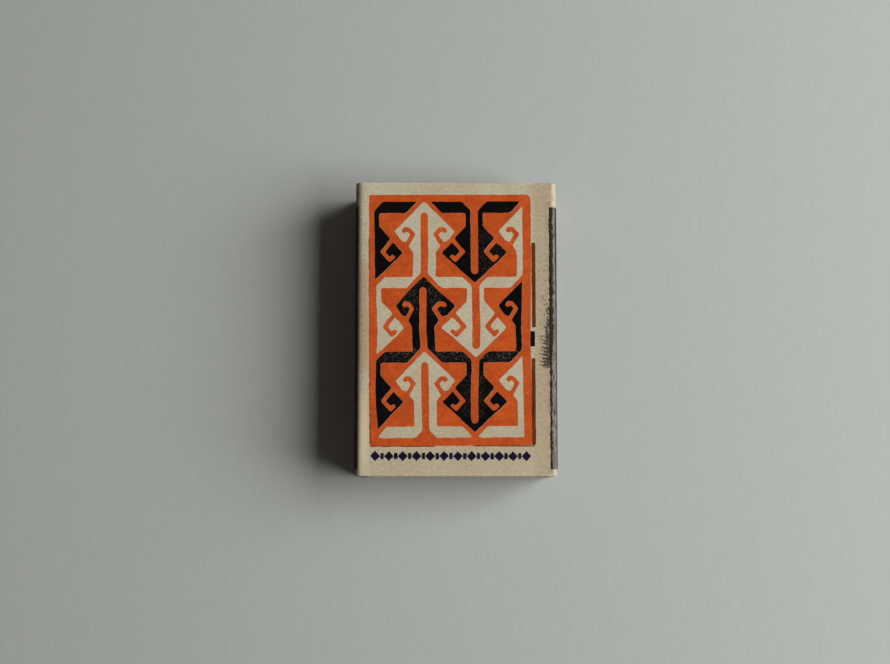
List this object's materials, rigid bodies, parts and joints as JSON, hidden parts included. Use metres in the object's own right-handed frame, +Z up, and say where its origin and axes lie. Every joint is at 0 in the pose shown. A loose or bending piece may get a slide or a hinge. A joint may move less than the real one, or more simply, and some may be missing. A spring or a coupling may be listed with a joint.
{
  "type": "matchbox",
  "caption": "Sliding card matchbox: a folded sleeve printed with hooked arrows and lined with striking strips, and a tray of wooden matches that slides through it.",
  "frame": {"origin": "middle of the sleeve's underside, on the surface that the box rests on", "axes": "+X across the box towards the striking strip that faces the light in the picture, +Y along the box, the way the arrows on the panel point, +Z up through the printed panel"},
  "size_m": [0.0362, 0.0533, 0.0146],
  "materials": {
    "sleeve_card": "matte",
    "tray_card": "matte",
    "striker": "matte",
    "orange_ink": "matte",
    "black_ink": "matte",
    "brown_ink": "matte",
    "navy_ink": "matte",
    "splint_wood": "matte",
    "head_paste": "matte"
  },
  "bodies": {
    "sleeve": {"sleeve": "sleeve_card", "striker_left": "striker", "striker_right": "striker", "orange_print": "orange_ink", "black_print_top_left": "black_ink", "black_print_top_right": "black_ink", "black_print_lower": "black_ink", "brown_rule_upper": "brown_ink", "navy_mark": "navy_ink", "brown_rule_lower": "brown_ink"},
    "tray": {"tray": "tray_card", "match_01_splint": "splint_wood", "match_01_head": "head_paste", "match_02_splint": "splint_wood", "match_02_head": "head_paste", "match_03_splint": "splint_wood", "match_03_head": "head_paste", "match_04_splint": "splint_wood", "match_04_head": "head_paste", "match_05_splint": "splint_wood", "match_05_head": "head_paste", "match_06_splint": "splint_wood", "match_06_head": "head_paste", "match_07_splint": "splint_wood", "match_07_head": "head_paste", "match_08_splint": "splint_wood", "match_08_head": "head_paste", "match_09_splint": "splint_wood", "match_09_head": "head_paste", "match_10_splint": "splint_wood", "match_10_head": "head_paste", "match_11_splint": "splint_wood", "match_11_head": "head_paste", "match_12_splint": "splint_wood", "match_12_head": "head_paste", "match_13_splint": "splint_wood", "match_13_head": "head_paste", "match_14_splint": "splint_wood", "match_14_head": "head_paste", "match_15_splint": "splint_wood", "match_15_head": "head_paste", "match_16_splint": "splint_wood", "match_16_head": "head_paste", "match_17_splint": "splint_wood", "match_17_head": "head_paste", "match_18_splint": "splint_wood", "match_18_head": "head_paste", "match_19_splint": "splint_wood", "match_19_head": "head_paste", "match_20_splint": "splint_wood", "match_20_head": "head_paste", "match_21_splint": "splint_wood", "match_21_head": "head_paste", "match_22_splint": "splint_wood", "match_22_head": "head_paste", "match_23_splint": "splint_wood", "match_23_head": "head_paste", "match_24_splint": "splint_wood", "match_24_head": "head_paste"}
  },
  "joints": [
    {"name": "tray_slide", "type": "slide", "parent": "sleeve", "child": "tray", "axis": [0, 1, 0], "range_m": [-0.045, 0.045]}
  ]
}
